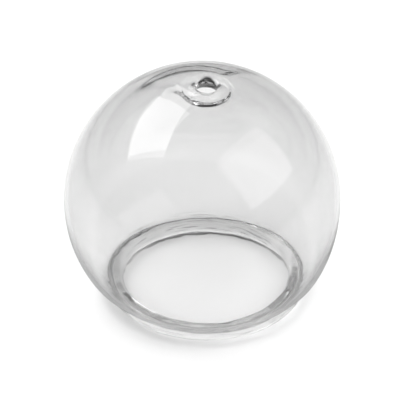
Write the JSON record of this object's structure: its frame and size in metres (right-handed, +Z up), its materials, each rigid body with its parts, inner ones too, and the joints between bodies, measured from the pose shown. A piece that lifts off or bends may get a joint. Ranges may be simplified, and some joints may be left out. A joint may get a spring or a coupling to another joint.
{
  "type": "bell jar dome",
  "caption": "Clear blown glass globe, open below on a thick rounded rim, with a small thick-lipped hole at its crown; it stands over an object on display and covers it.",
  "frame": {"origin": "centre of the mouth, on the plane of the flat land that the dome stands on", "axes": "+Z up along the axis of the globe, out through the crown hole; the dome is round, so X and Y are alike"},
  "size_m": [0.1, 0.1, 0.0891],
  "materials": {
    "clear_glass": "colourless blown glass, fire-polished, with faint waves and seeds"
  },
  "bodies": {
    "root": {"glass_dome": "clear_glass"}
  },
  "joints": []
}
